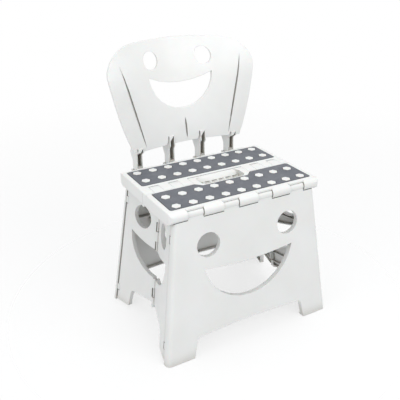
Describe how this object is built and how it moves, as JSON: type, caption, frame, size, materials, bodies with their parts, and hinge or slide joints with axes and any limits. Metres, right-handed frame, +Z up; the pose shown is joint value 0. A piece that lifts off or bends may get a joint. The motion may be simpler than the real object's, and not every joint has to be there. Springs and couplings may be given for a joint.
{
  "type": "folding step stool chair",
  "caption": "Folding plastic step stool with dotted grip pads, a carrying hand hole, face-shaped cut-outs in its folding sides and a lift-off curved backrest.",
  "frame": {"origin": "on the floor, under the middle of the bounding box", "axes": "+X to the right seen from the front, +Y towards the backrest, +Z up"},
  "size_m": [0.3346, 0.2982, 0.4763],
  "materials": {
    "white_plastic": "moulded, softly glossy white",
    "grip_pad": "matt grey anti-slip sheet",
    "hinge_steel": "plain drawn wire"
  },
  "bodies": {
    "rear_leg": {"leg_rear": "white_plastic", "rear_hinge_rod": "hinge_steel", "corner_pin_left_rear_upper": "hinge_steel", "corner_pin_left_rear_lower": "hinge_steel", "corner_pin_right_rear_upper": "hinge_steel", "corner_pin_right_rear_lower": "hinge_steel"},
    "rear_seat": {"seat_rear": "white_plastic", "pad_rear": "grip_pad", "centre_hinge_rod": "hinge_steel"},
    "front_seat": {"seat_front": "white_plastic", "pad_front": "grip_pad"},
    "front_leg": {"leg_front": "white_plastic", "front_hinge_rod": "hinge_steel", "corner_pin_left_front_upper": "hinge_steel", "corner_pin_left_front_lower": "hinge_steel", "corner_pin_right_front_upper": "hinge_steel", "corner_pin_right_front_lower": "hinge_steel"},
    "left_rear_side": {"side_left_rear": "white_plastic"},
    "left_front_side": {"side_left_front": "white_plastic", "middle_pin_left_upper": "white_plastic", "middle_pin_left_lower": "white_plastic"},
    "right_rear_side": {"side_right_rear": "white_plastic"},
    "right_front_side": {"side_right_front": "white_plastic", "middle_pin_right_upper": "white_plastic", "middle_pin_right_lower": "white_plastic"},
    "back": {"backrest": "white_plastic"}
  },
  "joints": [
    {"name": "rear_leg_fold", "type": "hinge", "parent": "rear_leg", "child": "rear_seat", "pos_m": [0, 0.06165, 0.2571], "axis": [-1, 0, 0], "range_deg": [0, 85.62]},
    {"name": "centre_fold", "type": "hinge", "parent": "rear_seat", "child": "front_seat", "pos_m": [0, -0.02815, 0.2446], "axis": [1, 0, 0], "range_deg": [0, 180]},
    {"name": "front_leg_fold", "type": "hinge", "parent": "front_seat", "child": "front_leg", "pos_m": [0, -0.11795, 0.2571], "axis": [-1, 0, 0], "range_deg": [0, 85.62]},
    {"name": "left_rear_side_fold", "type": "hinge", "parent": "rear_leg", "child": "left_rear_side", "pos_m": [-0.1274, 0.05245, 0.267], "axis": [0.1262, -0.0799, 0.9888], "range_deg": [0, 75.5]},
    {"name": "left_front_side_fold", "type": "hinge", "parent": "front_leg", "child": "left_front_side", "pos_m": [-0.1274, -0.10875, 0.267], "axis": [-0.1262, -0.0799, -0.9888], "range_deg": [0, 75.5]},
    {"name": "right_rear_side_fold", "type": "hinge", "parent": "rear_leg", "child": "right_rear_side", "pos_m": [0.1274, 0.05245, 0.267], "axis": [0.1262, 0.0799, -0.9888], "range_deg": [0, 75.5]},
    {"name": "right_front_side_fold", "type": "hinge", "parent": "front_leg", "child": "right_front_side", "pos_m": [0.1274, -0.10875, 0.267], "axis": [-0.1262, 0.0799, 0.9888], "range_deg": [0, 75.5]},
    {"name": "backrest_lift", "type": "slide", "parent": "rear_leg", "child": "back", "axis": [0, 0, 1], "range_m": [0, 0.028]}
  ],
  "couplings": [
    {"joint": "centre_fold", "follows": "rear_leg_fold", "ratio": 2.1024},
    {"joint": "front_leg_fold", "follows": "rear_leg_fold", "ratio": 1},
    {"joint": "left_rear_side_fold", "follows": "rear_leg_fold", "ratio": 0.8818},
    {"joint": "left_front_side_fold", "follows": "rear_leg_fold", "ratio": 0.8818},
    {"joint": "right_rear_side_fold", "follows": "rear_leg_fold", "ratio": 0.8818},
    {"joint": "right_front_side_fold", "follows": "rear_leg_fold", "ratio": 0.8818}
  ]
}
